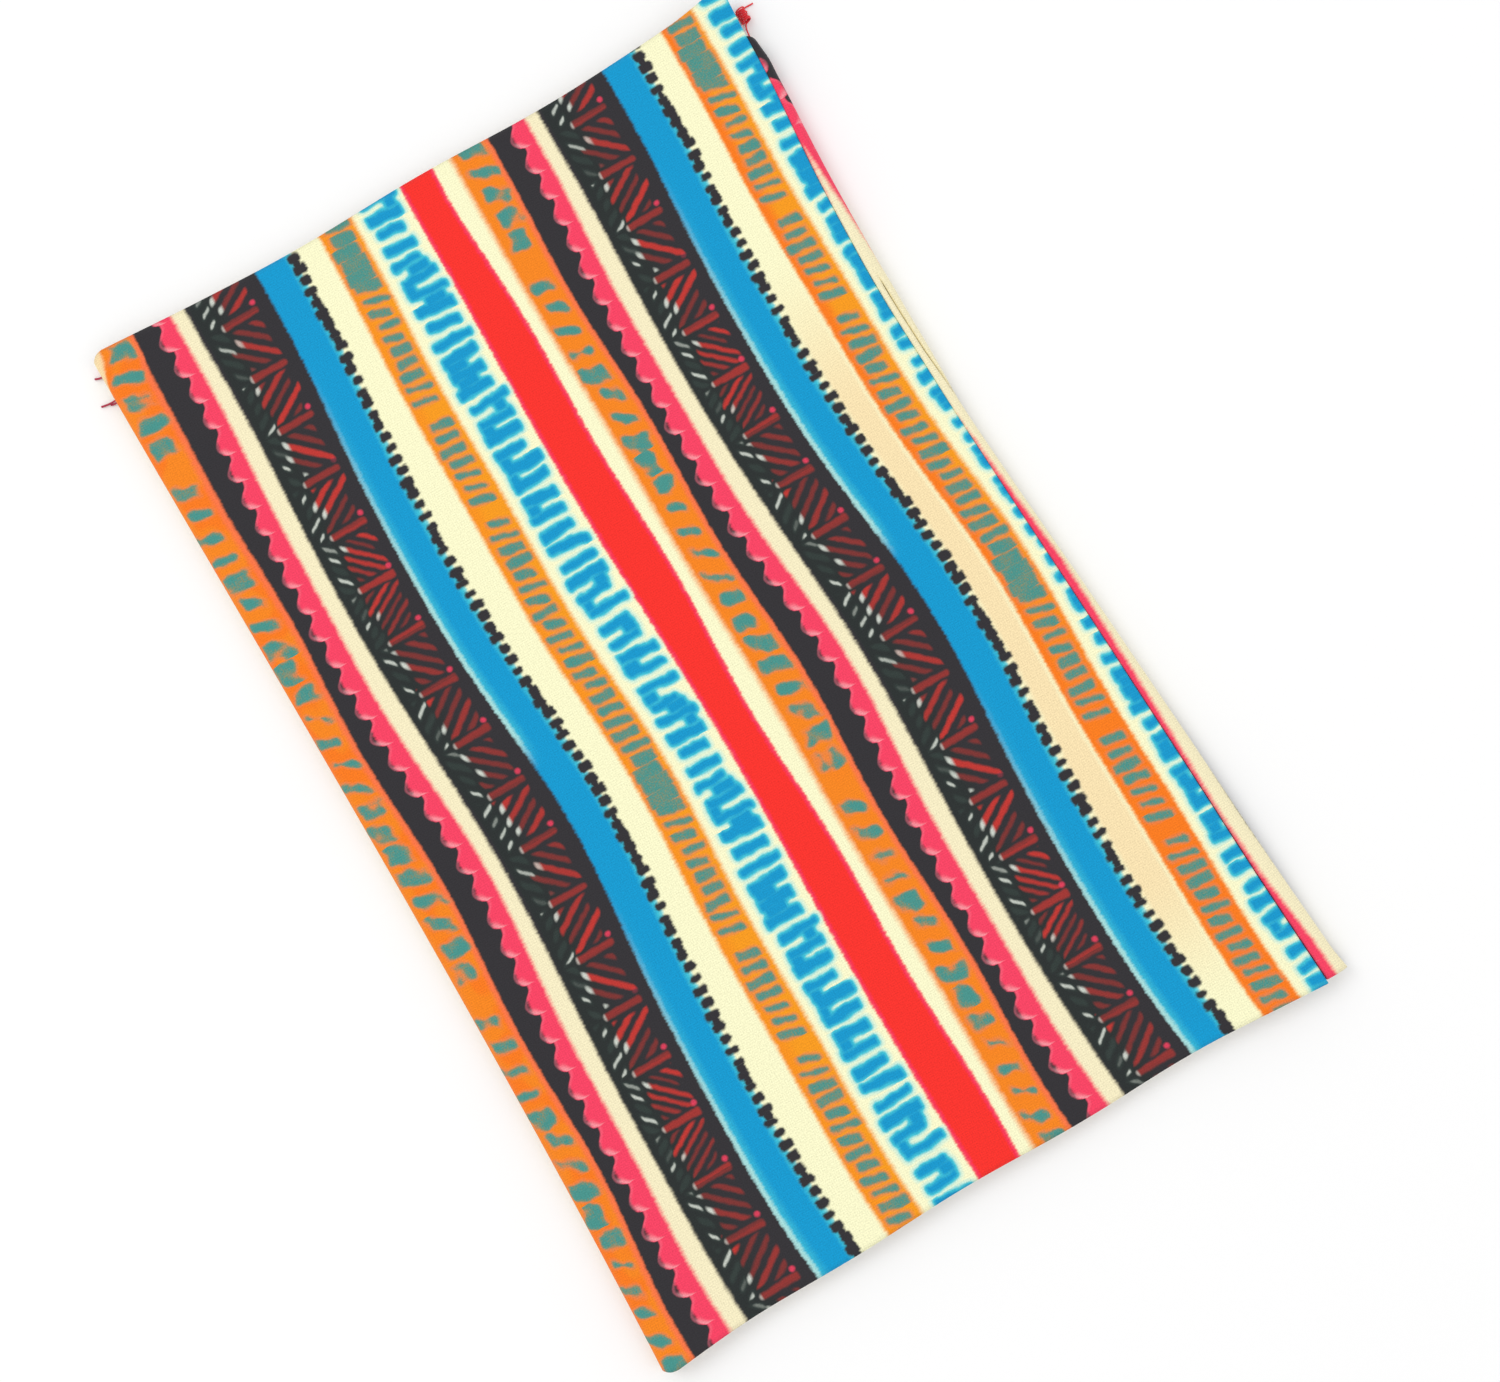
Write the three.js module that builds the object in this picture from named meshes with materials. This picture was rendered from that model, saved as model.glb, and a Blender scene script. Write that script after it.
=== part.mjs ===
// Neck gaiter: one printed knit blank folded into a tube, closed by a single overlocked side seam.
// Millimetres. The tube lies flat on the XY plane: +Y along the tube, +X towards the seam, +Z up.
import * as THREE from 'three';

// Driving dimensions of the tube as it lies.
const tubeWidth = 250;
const tubeLength = 380;
const clothThickness = 0.8;
const innerGap = 5.6;
const meshGap = 0.3;

// How the relaxed cloth leaves a true rectangle.
const foldPull = 2; // waist of the folded edge
const seamPull = 6.6; // waist of the seam edge at mid-length
const seamSkew = 0.7; // above 0, the seam's waist is deepest nearer the top
const mouthDip = 4; // how far each mouth bows in between its corners
const topSlip = 20; // how far the back layer's seam corner stops short at the top
const bottomSlip = 1.5; // the same at the bottom

// Side seam: its line sits on the front, a strip of the back layer rolls round to meet it.
const stripWidth = 5; // at mid-length
const stripTaper = 0.44; // share of that width lost by the top mouth and gained by the bottom one
const allowanceWidth = 6;
const stitchPitch = 4;
const threadDiameter = 0.4;
const seamEndInset = 1.5; // the stitches stop just short of the raw mouths

// Thread tail at the top of the seam.
const tailDiameter = 0.5;
const tailCoilRadius = 1.8; // to the middle of the turns
const tailCoilHeight = 1.8;
const tailLead = 4.6; // how far the coil lies beyond the end of the seam
const tailBase = 0.1; // height of the coil's underside, resting on the floor

// Worked out from the dimensions above.
const halfWidth = tubeWidth / 2;
const halfLength = tubeLength / 2;
const totalHeight = 2 * clothThickness + innerGap;
const foldRadius = (totalHeight - clothThickness) / 2; // middle of the cloth at both side edges
const middleHeight = totalHeight / 2;
const topHeight = totalHeight - clothThickness / 2; // middle of the front layer
const bottomHeight = clothThickness / 2; // middle of the back layer
const seamLine = halfWidth - stripWidth * (1 + stripTaper);
const seamEdge = seamLine + stripWidth;
const layerPitch = clothThickness + meshGap; // two cloth layers lying face to face
const stackHeight = 1.6; // room for the loops and a needle thread above the front allowance
const allowanceHeight = topHeight - clothThickness - stackHeight;
const frontTurn = (topHeight - allowanceHeight) / 2; // radius of the front layer's turn at the seam
const turnX = seamLine - clothThickness / 2 - meshGap / 2 - frontTurn;
const rawEdge = turnX - allowanceWidth;
const alongSteps = 12;
const acrossStep = 19;

const colours = {
  print: 0xf2a23c,
  lining: 0xf1e6cf,
  thread: 0xd8202c,
};

function matt(colour, roughness) {
  return new THREE.MeshStandardMaterial({ color: colour, roughness, metalness: 0 });
}

const clothMaterial = (colour) => matt(colour, 0.9);
const threadMaterial = () => matt(colours.thread, 0.7);

function namedMesh(name, geometry, material) {
  const mesh = new THREE.Mesh(geometry, material);
  mesh.name = name;
  return mesh;
}

// Where a point of a straight tube lies once the cloth has relaxed. Side edges pull in at mid-length,
// mouths bow in between their corners, and what slips is drawn back near the seam at each mouth.
function relaxed(x, y, slips) {
  const across = x / halfWidth;
  const dip = mouthDip * (1 - across ** 4);
  const nearSeam = Math.max(0, 2 * across - 1) ** 2;
  const slip = slips ? nearSeam * (y > 0 ? topSlip : bottomSlip) : 0;
  const along = (y / halfLength) * (1 - (dip + slip) / halfLength);
  const pull = (across < 0 ? foldPull : seamPull * (1 + seamSkew * along)) * (1 - along ** 2);
  const taper = Math.max(0, x - seamLine) * stripTaper * along;
  return [across * (halfWidth - pull) - taper, along * halfLength];
}

function relax(geometry, slips) {
  const place = geometry.attributes.position;
  for (let i = 0; i < place.count; i += 1) {
    place.setXY(i, ...relaxed(place.getX(i), place.getY(i), slips));
  }
  geometry.computeVertexNormals();
  return geometry;
}

// A strip of even thickness along a line of points, as a closed outline.
function ribbonShape(points, thickness) {
  const outer = [];
  const inner = [];
  points.forEach((point, i) => {
    const before = points[Math.max(0, i - 1)];
    const after = points[Math.min(points.length - 1, i + 1)];
    const normal = new THREE.Vector2(before.y - after.y, after.x - before.x).normalize();
    outer.push(point.clone().addScaledVector(normal, thickness / 2));
    inner.unshift(point.clone().addScaledVector(normal, -thickness / 2));
  });
  return new THREE.Shape([...outer, ...inner]);
}

// Points of a straight run, close enough together for the mouths to bow smoothly.
function straightRun(from, to, height) {
  const count = Math.max(1, Math.round(Math.abs(to - from) / acrossStep));
  const step = (to - from) / count;
  return Array.from({ length: count + 1 }, (_, i) => new THREE.Vector2(from + step * i, height));
}

// Points of an arc about a centre, angles in degrees.
function arcRun(x, z, radius, fromAngle, toAngle, count) {
  return Array.from({ length: count + 1 }, (_, i) => {
    const angle = THREE.MathUtils.degToRad(fromAngle + ((toAngle - fromAngle) * i) / count);
    return new THREE.Vector2(x + radius * Math.cos(angle), z + radius * Math.sin(angle));
  });
}

// Drops points that repeat the one before, where two runs meet.
function joinRuns(...runs) {
  return runs.flat().filter((point, i, all) => i === 0 || point.distanceTo(all[i - 1]) > 0.01);
}

// Extrudes an outline drawn across the tube along its length, mouth to mouth.
function alongTube(shape, slips) {
  const extrusion = { depth: tubeLength, steps: alongSteps, bevelEnabled: false };
  const geometry = new THREE.ExtrudeGeometry(shape, extrusion);
  geometry.rotateX(Math.PI / 2);
  geometry.translate(0, halfLength, 0);
  return relax(geometry, slips);
}

// Upper half of the blank: from the folded edge to the seam line, then down and back inside.
function frontLayer() {
  const foldX = -halfWidth + clothThickness / 2 + foldRadius;
  const gapAngle = THREE.MathUtils.radToDeg(meshGap / 2 / foldRadius);
  const middle = joinRuns(
    arcRun(foldX, middleHeight, foldRadius, 180 - gapAngle, 90, 5),
    straightRun(foldX, turnX, topHeight),
    arcRun(turnX, topHeight - frontTurn, frontTurn, 90, -90, 6),
    straightRun(turnX, rawEdge, allowanceHeight),
  );
  return alongTube(ribbonShape(middle, clothThickness), false);
}

// Lower half of the blank: from the folded edge underneath, round the seam edge, up on to the
// front as a narrow strip, then down beside the front layer and back inside under its allowance.
function backLayer() {
  const leftX = -halfWidth + clothThickness / 2 + foldRadius;
  const rightX = seamEdge - clothThickness / 2 - foldRadius;
  const gapAngle = THREE.MathUtils.radToDeg(meshGap / 2 / foldRadius);
  const lipRadius = clothThickness * 0.7;
  const wallX = seamLine + clothThickness / 2 + meshGap / 2;
  const lowHeight = allowanceHeight - layerPitch;
  const turnRadius = frontTurn + layerPitch;
  const lowTurnX = wallX - turnRadius;
  const middle = joinRuns(
    arcRun(leftX, middleHeight, foldRadius, 180 + gapAngle, 270, 5),
    straightRun(leftX, rightX, bottomHeight),
    arcRun(rightX, middleHeight, foldRadius, -90, 90, 8),
    arcRun(wallX + lipRadius, topHeight - lipRadius, lipRadius, 90, 180, 3),
    arcRun(lowTurnX, lowHeight + turnRadius, turnRadius, 0, -90, 4),
    straightRun(lowTurnX, lowTurnX + frontTurn - allowanceWidth, lowHeight),
  );
  return alongTube(ribbonShape(middle, clothThickness), true);
}

// A row of straight stitches, as one thread along the seam.
function needleThread(x, height) {
  const length = tubeLength - 2 * seamEndInset;
  const radius = threadDiameter / 2;
  const geometry = new THREE.CylinderGeometry(radius, radius, length, 8, alongSteps);
  geometry.translate(x, 0, height);
  return relax(geometry, true);
}

// Looper thread: a flat zigzag between the raw edge and the seam line.
function looperThread(fromX, toX, height) {
  const length = tubeLength - 2 * seamEndInset - stitchPitch;
  const legs = 2 * Math.round(length / stitchPitch);
  const middle = Array.from({ length: legs + 1 }, (_, i) => (
    new THREE.Vector2(i % 2 === 0 ? fromX : toX, -length / 2 + (length * i) / legs)
  ));
  const legSlope = Math.atan2(length / legs, Math.abs(toX - fromX));
  const corner = threadDiameter / 2 / Math.sin(legSlope);
  const left = middle.map((point) => new THREE.Vector2(point.x - corner, point.y));
  const right = middle.map((point) => new THREE.Vector2(point.x + corner, point.y)).reverse();
  const shape = new THREE.Shape([...left, ...right]);
  const geometry = new THREE.ExtrudeGeometry(shape, { depth: meshGap, bevelEnabled: false });
  geometry.translate(0, 0, height - meshGap / 2);
  return relax(geometry, true);
}

// A round thread through a few points.
function threadThrough(points, diameter, steps) {
  const curve = new THREE.CatmullRomCurve3(points.map((point) => new THREE.Vector3(...point)));
  const section = new THREE.Shape();
  section.absarc(0, 0, diameter / 2, 0, 2 * Math.PI, false);
  const extrusion = { extrudePath: curve, steps, curveSegments: 4, bevelEnabled: false };
  return new THREE.ExtrudeGeometry(section, extrusion);
}

// Outer shape of the bundle of loops in the thread tail: a squat ring.
function tailCoil(x, y, height) {
  const inner = tailCoilRadius - 2 * tailDiameter;
  const outer = tailCoilRadius + tailDiameter;
  const profile = [
    [inner, 0],
    [outer, 0],
    [outer, tailCoilHeight],
    [inner, tailCoilHeight],
    [inner, 0],
  ].map(([radius, z]) => new THREE.Vector2(radius, z));
  const geometry = new THREE.LatheGeometry(profile, 16);
  geometry.rotateX(Math.PI / 2);
  geometry.translate(x, y, height);
  return geometry;
}

// Adds threads to the gaiter, from their names and shapes.
function addThreads(gaiter, shapes) {
  Object.entries(shapes).forEach(([name, geometry]) => {
    gaiter.add(namedMesh(name, geometry, threadMaterial()));
  });
}

// Threads of the overlock seam, stacked above and below the two allowances, short of the turn.
function addSeamThreads(gaiter) {
  const clearOfTurn = turnX - 1;
  const overFront = allowanceHeight + clothThickness / 2 + 1.5 * meshGap;
  const underBack = allowanceHeight - layerPitch - clothThickness / 2 - 1.5 * meshGap;
  const overLoops = overFront + 1.5 * meshGap + threadDiameter / 2;
  const threads = {
    left_needle_thread: needleThread(clearOfTurn, overLoops),
    right_needle_thread: needleThread((rawEdge + clearOfTurn) / 2, overLoops),
    upper_looper_thread: looperThread(rawEdge, clearOfTurn, overFront),
    lower_looper_thread: looperThread(rawEdge, clearOfTurn, underBack),
  };
  addThreads(gaiter, threads);
}

// The tail leaves the top of the seam beside the front layer, drops to the floor, curls into a
// bundle there and ends free.
function addThreadTail(gaiter) {
  const exitX = seamLine + 1.6;
  const exitY = relaxed(exitX, halfLength, true)[1] + meshGap + tailDiameter / 2;
  const coilReach = tailCoilRadius + tailDiameter;
  const coilX = seamLine + meshGap + coilReach + 0.4;
  const coilY = exitY + tailLead + meshGap + coilReach;
  const leadEnd = exitY + tailLead - 0.2;
  const lead = [
    [exitX, exitY, middleHeight],
    [exitX + 0.8, (exitY + leadEnd) / 2, middleHeight - 0.7],
    [exitX + 1.5, leadEnd, tailBase + tailCoilHeight],
  ];
  const free = [
    [coilX + coilReach + meshGap, coilY + 1.2, tailBase + 0.6],
    [coilX + coilReach + 1.1, coilY + 1.6, tailBase + 0.4],
    [coilX + coilReach + 2, coilY + 1.4, tailBase + 0.3],
  ];
  addThreads(gaiter, {
    thread_tail_lead: threadThrough(lead, tailDiameter, 4),
    thread_tail_coil: tailCoil(coilX, coilY, tailBase),
    thread_tail_end: threadThrough(free, tailDiameter, 4),
  });
}

// Short cut ends that reach out from under the folded edge, near its top corner.
function addThreadEnds(gaiter) {
  const underEdge = -halfWidth + 0.6;
  const floorHeight = tailDiameter / 2 + tailBase;
  const ends = [
    { y: 181, reach: 3.4, rise: 0.6 },
    { y: 172.5, reach: 6, rise: 1 },
    { y: 170.5, reach: 3, rise: -0.8 },
  ];
  ends.forEach((end, i) => {
    const points = [
      [underEdge, end.y, floorHeight],
      [underEdge - end.reach / 2, end.y + end.rise / 2, floorHeight],
      [underEdge - end.reach, end.y + end.rise * 0.4, floorHeight],
    ];
    addThreads(gaiter, { [`thread_end_${i + 1}`]: threadThrough(points, tailDiameter, 3) });
  });
}

const gaiter = new THREE.Group();
gaiter.add(
  namedMesh('front_layer', frontLayer(), clothMaterial(colours.print)),
  namedMesh('back_layer', backLayer(), clothMaterial(colours.lining)),
);
addSeamThreads(gaiter);
addThreadTail(gaiter);
addThreadEnds(gaiter);

export default gaiter;
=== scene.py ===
"""Printed knit neck tube lying flat on a pale floor: the looks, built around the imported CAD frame.

Objects are in metres. Shapes and the print are worked out in millimetres, in the part's own frame:
+Y along the tube, +X towards the side seam, +Z up.
"""

import math

import bpy
import numpy as np
from mathutils import Matrix, Vector


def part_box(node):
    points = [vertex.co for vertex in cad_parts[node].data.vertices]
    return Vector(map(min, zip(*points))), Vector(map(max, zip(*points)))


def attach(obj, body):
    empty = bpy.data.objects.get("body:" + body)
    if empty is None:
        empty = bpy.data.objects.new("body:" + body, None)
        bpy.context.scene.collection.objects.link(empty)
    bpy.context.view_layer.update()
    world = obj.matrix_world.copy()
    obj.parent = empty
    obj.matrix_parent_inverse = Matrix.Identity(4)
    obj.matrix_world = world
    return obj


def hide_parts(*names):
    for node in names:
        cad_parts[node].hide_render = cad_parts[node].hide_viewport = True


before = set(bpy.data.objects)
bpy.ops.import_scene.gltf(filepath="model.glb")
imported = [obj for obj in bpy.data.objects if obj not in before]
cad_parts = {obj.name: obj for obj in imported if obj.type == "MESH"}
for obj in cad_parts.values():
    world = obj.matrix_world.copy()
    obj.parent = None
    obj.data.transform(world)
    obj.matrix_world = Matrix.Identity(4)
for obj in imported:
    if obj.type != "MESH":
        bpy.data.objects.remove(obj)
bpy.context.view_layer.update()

MM = 0.001

# ---------------------------------------------------------------- dimensions, as in the CAD

BACK_LOW, BACK_HIGH = [np.array(corner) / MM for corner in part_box("back_layer")]
HALF_WIDTH = BACK_HIGH[0]
HALF_LENGTH = BACK_HIGH[1]
HEIGHT = BACK_HIGH[2] - BACK_LOW[2]
CAD_THICKNESS = 0.8
THICKNESS = 0.7
GAP = 0.3
TOP_SLIP = 22.5  # how far the back layer's seam corner is drawn back at the top mouth
BOTTOM_SLIP = 1.5
STRIP_WIDTH = 5.0  # strip of the back layer that shows beside the seam, at mid-length
ALLOWANCE_WIDTH = 6.0
STACK_HEIGHT = 1.6  # room for the overlock loops above the front allowance
STITCH_PITCH = 4.0
SEAM_THREAD = 0.4
TAIL_THREAD = 0.5
END_THREAD = 0.7  # the cut ends at the folded edge, a little untwisted
EDGE_STEPS = 30  # segments of the rolled edge beside the seam
ROWS = 191  # rows of points along the tube

FOLD_RADIUS = (HEIGHT - CAD_THICKNESS) / 2
TOP = HEIGHT - CAD_THICKNESS / 2
BOTTOM = CAD_THICKNESS / 2
SEAM_LINE = HALF_WIDTH - STRIP_WIDTH * 1.44
SEAM_EDGE = SEAM_LINE + STRIP_WIDTH
ALLOWANCE_HEIGHT = TOP - CAD_THICKNESS - STACK_HEIGHT
LAYER_PITCH = CAD_THICKNESS + GAP
FRONT_TURN = (TOP - ALLOWANCE_HEIGHT) / 2
TURN_X = SEAM_LINE - CAD_THICKNESS / 2 - GAP / 2 - FRONT_TURN
RAW_EDGE = TURN_X - ALLOWANCE_WIDTH

# ---------------------------------------------------------------- the printed stripes

REPEAT_ACROSS = 134.4
REPEAT_ALONG = 199.4
REPEAT_START = -9.0  # where a repeat starts along the tube

ORANGE = (250, 136, 26)
AMBER = (251, 157, 22)
BLACK = (50, 48, 52)
PINK = (251, 66, 100)
PALE_CREAM = (250, 240, 200)
CREAM = (254, 252, 208)
BLUE = (4, 156, 211)
RED = (253, 48, 40)

# Left edge of each stripe of one repeat, how far it sways and ripples along the tube, how soft
# that edge is, and the colour of the stripe.
STRIPES = {
    "orange": (-123.7, 0.2, 0.3, 1.6, ORANGE),
    "black": (-110.1, 0.5, 0.9, 0.7, BLACK),
    "pink": (-103.9, 2.3, 0.5, 0.7, PINK),
    "pale_cream": (-97.1, 2.0, 0.6, 1.1, PALE_CREAM),
    "hatch": (-91.7, 1.7, 0.1, 0.9, BLACK),
    "blue": (-66.9, 2.7, 0.4, 0.7, BLUE),
    "cream": (-54.1, 2.4, 0.2, 0.7, CREAM),
    "amber": (-41.9, 1.3, 0.5, 1.1, AMBER),
    "stroke_cream": (-29.0, 1.2, 0.6, 1.2, CREAM),
    "red": (-9.1, 0.9, 0.0, 0.9, RED),
    "wide_cream": (5.3, -0.4, -0.7, 0.9, CREAM),
}
WRAP = 7.6  # a repeat starts here, inside the wide cream stripe
SWAY_PHASE = 0.6
RIPPLE_PHASE = 0.8


def stripe_edge(name, wave, ripple):
    """Left edge of a stripe, from the values of the two waves that move all the edges together."""
    position, sway, rippling = STRIPES[name][:3]
    return position + sway * wave + rippling * ripple


def pink_edge(y):
    """Right edge of the pink stripe at a place along the tube."""
    turn = 2 * np.pi * (y - REPEAT_START) / REPEAT_ALONG
    return stripe_edge("pale_cream", np.cos(turn + SWAY_PHASE), np.cos(2 * turn + RIPPLE_PHASE))


# ---------------------------------------------------------------- the cloth


def smoothstep(value, low, high):
    share = np.clip((value - low) / (high - low), 0, 1)
    return share * share * (3 - 2 * share)


def bump_at(value, centre, width):
    return np.exp(-(((value - centre) / width) ** 2))


def relaxed(x, y, slips):
    """Where a point of a straight tube lies once the cloth has relaxed, as in the CAD model, with
    the mouths' shallow waves. slips is true for the back layer, whose seam corners are drawn back."""
    across = x / HALF_WIDTH
    inside = 1 - across**4
    top_dip = (3.6 - 0.6 * np.cos(across * 7.5) + 0.6 * across) * inside
    bottom_dip = (3.1 + 0.5 * np.cos(across * 9 + 1)) * inside
    left_ear = 3.0 * np.clip((-across - 0.955) / 0.045, 0, 1) ** 2
    near_seam = np.maximum(0, 2 * across - 1) ** 2
    slip = np.where(y > 0, TOP_SLIP, BOTTOM_SLIP) * near_seam if slips else 0
    dip = np.where(y > 0, top_dip, bottom_dip) + left_ear
    along = y / HALF_LENGTH * (1 - (dip + slip) / HALF_LENGTH)
    fold_pull = 2.3 * (1 - 0.6 * along) * (1 - along**2)
    pull = np.where(across < 0, fold_pull, seam_pull(along * HALF_LENGTH))
    strip_share = np.clip((x - SEAM_LINE) / STRIP_WIDTH, 0, 1)
    narrowed = strip_share * (STRIP_WIDTH - strip_width(along * HALF_LENGTH))
    return across * (HALF_WIDTH - pull) - narrowed, along * HALF_LENGTH


def through(y, places, values, easing):
    """A curve through a few values along the tube, its corners rounded over the easing length."""
    shifts = np.linspace(-easing, easing, 5)
    return sum(np.interp(y + shift, places, values) for shift in shifts) / len(shifts)


def seam_pull(y):
    """How far the seam edge is drawn in: its waist is deepest above mid-length."""
    places = [-190, -150, -107, -57, -7, 25, 75, 108, 127, 157, 190]
    pulls = [0.4, 2.0, 3.0, 4.4, 6.2, 7.3, 8.2, 6.5, 4.9, 1.5, 0.4]
    return through(y, places, pulls, 10)


def strip_width(y):
    """Width of the strip beside the seam: a tip at the top mouth, a slight waist above mid-length
    and a flare at the bottom mouth."""
    places = [-190, -182, -134, -102, -70, -38, -6, 26, 50, 74, 106, 138, 156, 162, 167, 171, 175]
    widths = [9.0, 7.8, 6.9, 6.3, 5.6, 5.0, 4.2, 3.7, 4.9, 5.7, 5.0, 3.9, 3.3, 3.5, 2.7, 2.3, 0.6]
    return through(y, places, widths, 2)


def corner_lift(x, y):
    """The top corner beside the seam curls up a little, and so do both mouths' raw edges."""
    corner = 4.5 * smoothstep(x, 96, 118) * smoothstep(y, 160, 192) ** 1.5
    return corner + 0.5 * smoothstep(np.abs(y), HALF_LENGTH - 12, HALF_LENGTH)


def front_relief(x, y):
    """How the upper layer sinks between its edges and undulates, in millimetres of height."""
    inner = smoothstep(x, -HALF_WIDTH + 4, -HALF_WIDTH + 40) * smoothstep(x, 104, 78)
    waves = 0.30 * np.sin(x / 19 + y / 47) + 0.24 * np.sin(x / 31 - y / 23 + 1.3)
    waves = waves + 0.14 * np.sin(x / 11 + y / 14 + 0.6)
    seam_pucker = 0.16 * np.sin(y / 3.1 + 0.8 * np.sin(y / 17)) * bump_at(x, SEAM_LINE - 7, 7)
    return inner * (waves - 1.1) + seam_pucker


def section_run(start, end, step):
    count = max(1, int(round(abs(end - start) / step)))
    return np.linspace(start, end, count + 1)


def arc(x, z, radius, start, end, count):
    angles = np.radians(np.linspace(start, end, count + 1))
    return np.stack([x + radius * np.cos(angles), z + radius * np.sin(angles)], 1)


def level_run(start, end, z, step):
    xs = section_run(start, end, step)
    return np.stack([xs, np.full_like(xs, z)], 1)


def cloth_section():
    """The cloth's middle line across the tube, from the front allowance's raw edge, round the
    front, the fold, the back and the strip, to the back allowance's raw edge. Returns the points
    and the index of the first point of each part."""
    left_x = -HALF_WIDTH + CAD_THICKNESS / 2 + FOLD_RADIUS
    right_x = SEAM_EDGE - CAD_THICKNESS / 2 - FOLD_RADIUS
    middle = HEIGHT / 2
    lip = 0.45
    front_wall = SEAM_LINE - THICKNESS / 2
    wall_x = front_wall + THICKNESS + 0.06
    low_turn = FRONT_TURN + LAYER_PITCH
    low_turn_x = wall_x - low_turn
    low_height = ALLOWANCE_HEIGHT - LAYER_PITCH
    crisp = 0.5
    parts = {
        "front_allowance": level_run(RAW_EDGE, front_wall - crisp, ALLOWANCE_HEIGHT, 1),
        "turn": np.concatenate(
            [
                arc(front_wall - crisp, ALLOWANCE_HEIGHT + crisp, crisp, -90, 0, 5)[1:],
                arc(front_wall - crisp, TOP - crisp, crisp, 0, 90, 6),
            ]
        ),
        "front": level_run(front_wall - crisp, left_x, TOP, 1.6)[1:],
        "fold": arc(left_x, middle, FOLD_RADIUS, 90, 270, 20)[1:],
        "back": level_run(left_x, right_x, BOTTOM, 2.4)[1:],
        "edge": arc(right_x, middle, FOLD_RADIUS, -90, 90, EDGE_STEPS)[1:],
        "lip": arc(wall_x + lip, TOP - lip, lip, 90, 180, 4),
        "low_turn": arc(low_turn_x, low_height + low_turn, low_turn, 0, -90, 8),
        "back_allowance": level_run(low_turn_x, RAW_EDGE + 0.2, low_height, 1)[1:],
    }
    starts, points = {}, []
    for name, run in parts.items():
        starts[name] = len(points)
        points.extend(run)
    starts["end"] = len(points)
    return np.array(points), starts


def strip_print(y, out):
    """Place of the print on the strip beside the seam, measured from the pink stripe's right edge,
    at a distance out from the seam line. Towards the top the strip is creased, and the print turns
    back beyond the crease."""
    heights = [28, 50, 75, 92, 108, 127, 147, 156, 159, 164, 167, 171]
    crests = [3.9, 3.9, 3.4, 2.6, 1.5, -0.2, -3.3, -4.6, -5.8, -6.4, -8.8, -9.6]
    crest = np.interp(y, heights, crests)
    crease = crease_place(y)
    upper = crest - np.abs(out - crease)
    low_heights = [-189, -175, -150, -125, -82, -32, 25]
    starts = [-3.9, -3.6, -1.6, -1.1, -2.2, -2.9, 0]
    lower = np.interp(y, low_heights, starts) + out * 1.07
    share = smoothstep(y, 22, 34)
    return upper * share + lower * (1 - share)


def print_drift(x, y):
    """How far the print is out of true on the cloth: it spreads a little from the top mouth to the
    bottom one, is drawn left towards the mouths and the seam's waist, and is squeezed beside the
    fold towards the top, all but the very corner."""
    spread = (np.clip(x, -HALF_WIDTH, HALF_WIDTH) + 10) * y * 7.5e-5
    mouths = 1.8 * smoothstep(x, -40, -110) * smoothstep(np.abs(y), 125, 185)
    waist = 1.1 * smoothstep(x, 80, 90) * bump_at(y, 65, 65)
    beside_fold = smoothstep(x, -103, -124)
    squeeze = 3.2 * beside_fold * smoothstep(y, -60, 150)
    corner = 5.0 * beside_fold * smoothstep(y, 172, 189)
    return spread + mouths + waist + squeeze - corner


def crease_place(y):
    """Distance of the strip's crease out from the seam line."""
    return np.interp(y, [28, 50, 75, 110, 150], [3.6, 2.4, 2.4, 1.4, 0])


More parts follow.
